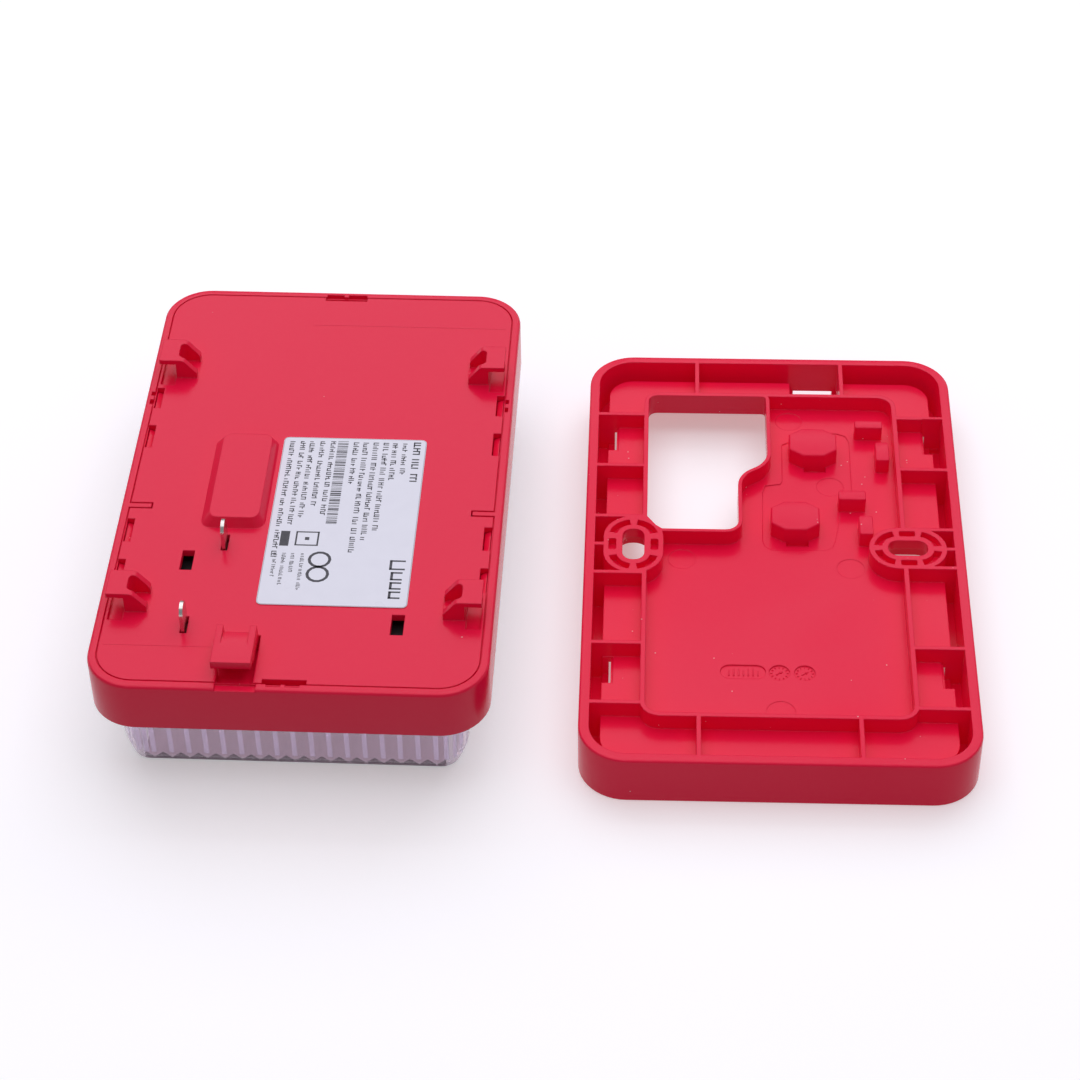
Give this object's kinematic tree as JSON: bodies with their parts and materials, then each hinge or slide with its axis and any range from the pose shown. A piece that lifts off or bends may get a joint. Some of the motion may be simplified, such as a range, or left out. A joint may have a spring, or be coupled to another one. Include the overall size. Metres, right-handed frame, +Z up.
{
  "type": "wall sounder strobe",
  "caption": "Wall alarm sounder with a strobe lens, unclipped: the body lies face down, and its ribbed wall bracket lies beside it.",
  "frame": {"origin": "middle of the bounding box's underside, on the table", "axes": "+Z up from the table, +X from the sounder body to the bracket, +Y towards the upper end of both halves"},
  "size_m": [0.1982, 0.1432, 0.037],
  "materials": {
    "red_plastic": "semi-gloss moulded",
    "clear_plastic": "clear, ribbed inside",
    "gasket_rubber": "matt",
    "white_plastic": "satin",
    "ivory_plastic": "satin",
    "black_plastic": "satin",
    "board_green": "solder mask",
    "ferrite": "matt",
    "lamp_yellow": "phosphor",
    "zinc_steel": "zinc plated",
    "nickel": "nickel plated",
    "brass": "plain",
    "label_paper": "gloss film label"
  },
  "bodies": {
    "sounder_body": {"front_housing": "red_plastic", "rear_cover": "red_plastic", "strobe_lens": "clear_plastic", "lens_gasket": "gasket_rubber", "reflector_tray": "white_plastic", "circuit_board": "board_green", "board_screw_1": "zinc_steel", "board_screw_2": "zinc_steel", "board_screw_3": "zinc_steel", "board_screw_4": "zinc_steel", "strobe_led_1": "lamp_yellow", "strobe_led_2": "lamp_yellow", "strobe_led_3": "lamp_yellow", "strobe_led_4": "lamp_yellow", "strobe_led_5": "lamp_yellow", "strobe_led_6": "lamp_yellow", "sounder_cup": "black_plastic", "piezo_plate": "brass", "piezo_ceramic": "white_plastic", "reservoir_capacitor_1": "black_plastic", "reservoir_capacitor_2": "black_plastic", "boost_coil": "ferrite", "tone_switch": "black_plastic", "volume_switch": "black_plastic", "blade_socket_1": "ivory_plastic", "contact_blade_1": "nickel", "blade_socket_2": "ivory_plastic", "contact_blade_2": "nickel", "rating_label": "label_paper"},
    "release_latch": {"release_latch": "red_plastic"},
    "bracket": {"mounting_bracket": "red_plastic", "terminal_contact_1": "nickel", "terminal_contact_2": "nickel", "clamp_washer_1": "zinc_steel", "clamp_washer_2": "zinc_steel"},
    "terminal_screw_1": {"terminal_screw_1": "zinc_steel"},
    "terminal_screw_2": {"terminal_screw_2": "zinc_steel"}
  },
  "joints": [
    {"name": "bracket_lift", "type": "slide", "parent": "sounder_body", "child": "bracket", "axis": [0, 0, 1], "range_m": [0, 0.06]},
    {"name": "latch_flex", "type": "hinge", "parent": "sounder_body", "child": "release_latch", "pos_m": [-0.06609, -0.05235, 0.0295], "axis": [0.9999, -0.015, 0], "range_deg": [0, 6], "stiffness_Nm_per_rad": 0.05},
    {"name": "terminal_screw_turn_1", "type": "hinge", "parent": "bracket", "child": "terminal_screw_1", "pos_m": [0.06442, 0.03664, 0.0042], "axis": [0, 0, 1], "continuous": true},
    {"name": "terminal_screw_turn_2", "type": "hinge", "parent": "bracket", "child": "terminal_screw_2", "pos_m": [0.05942, 0.00974, 0.0042], "axis": [0, 0, 1], "continuous": true}
  ]
}
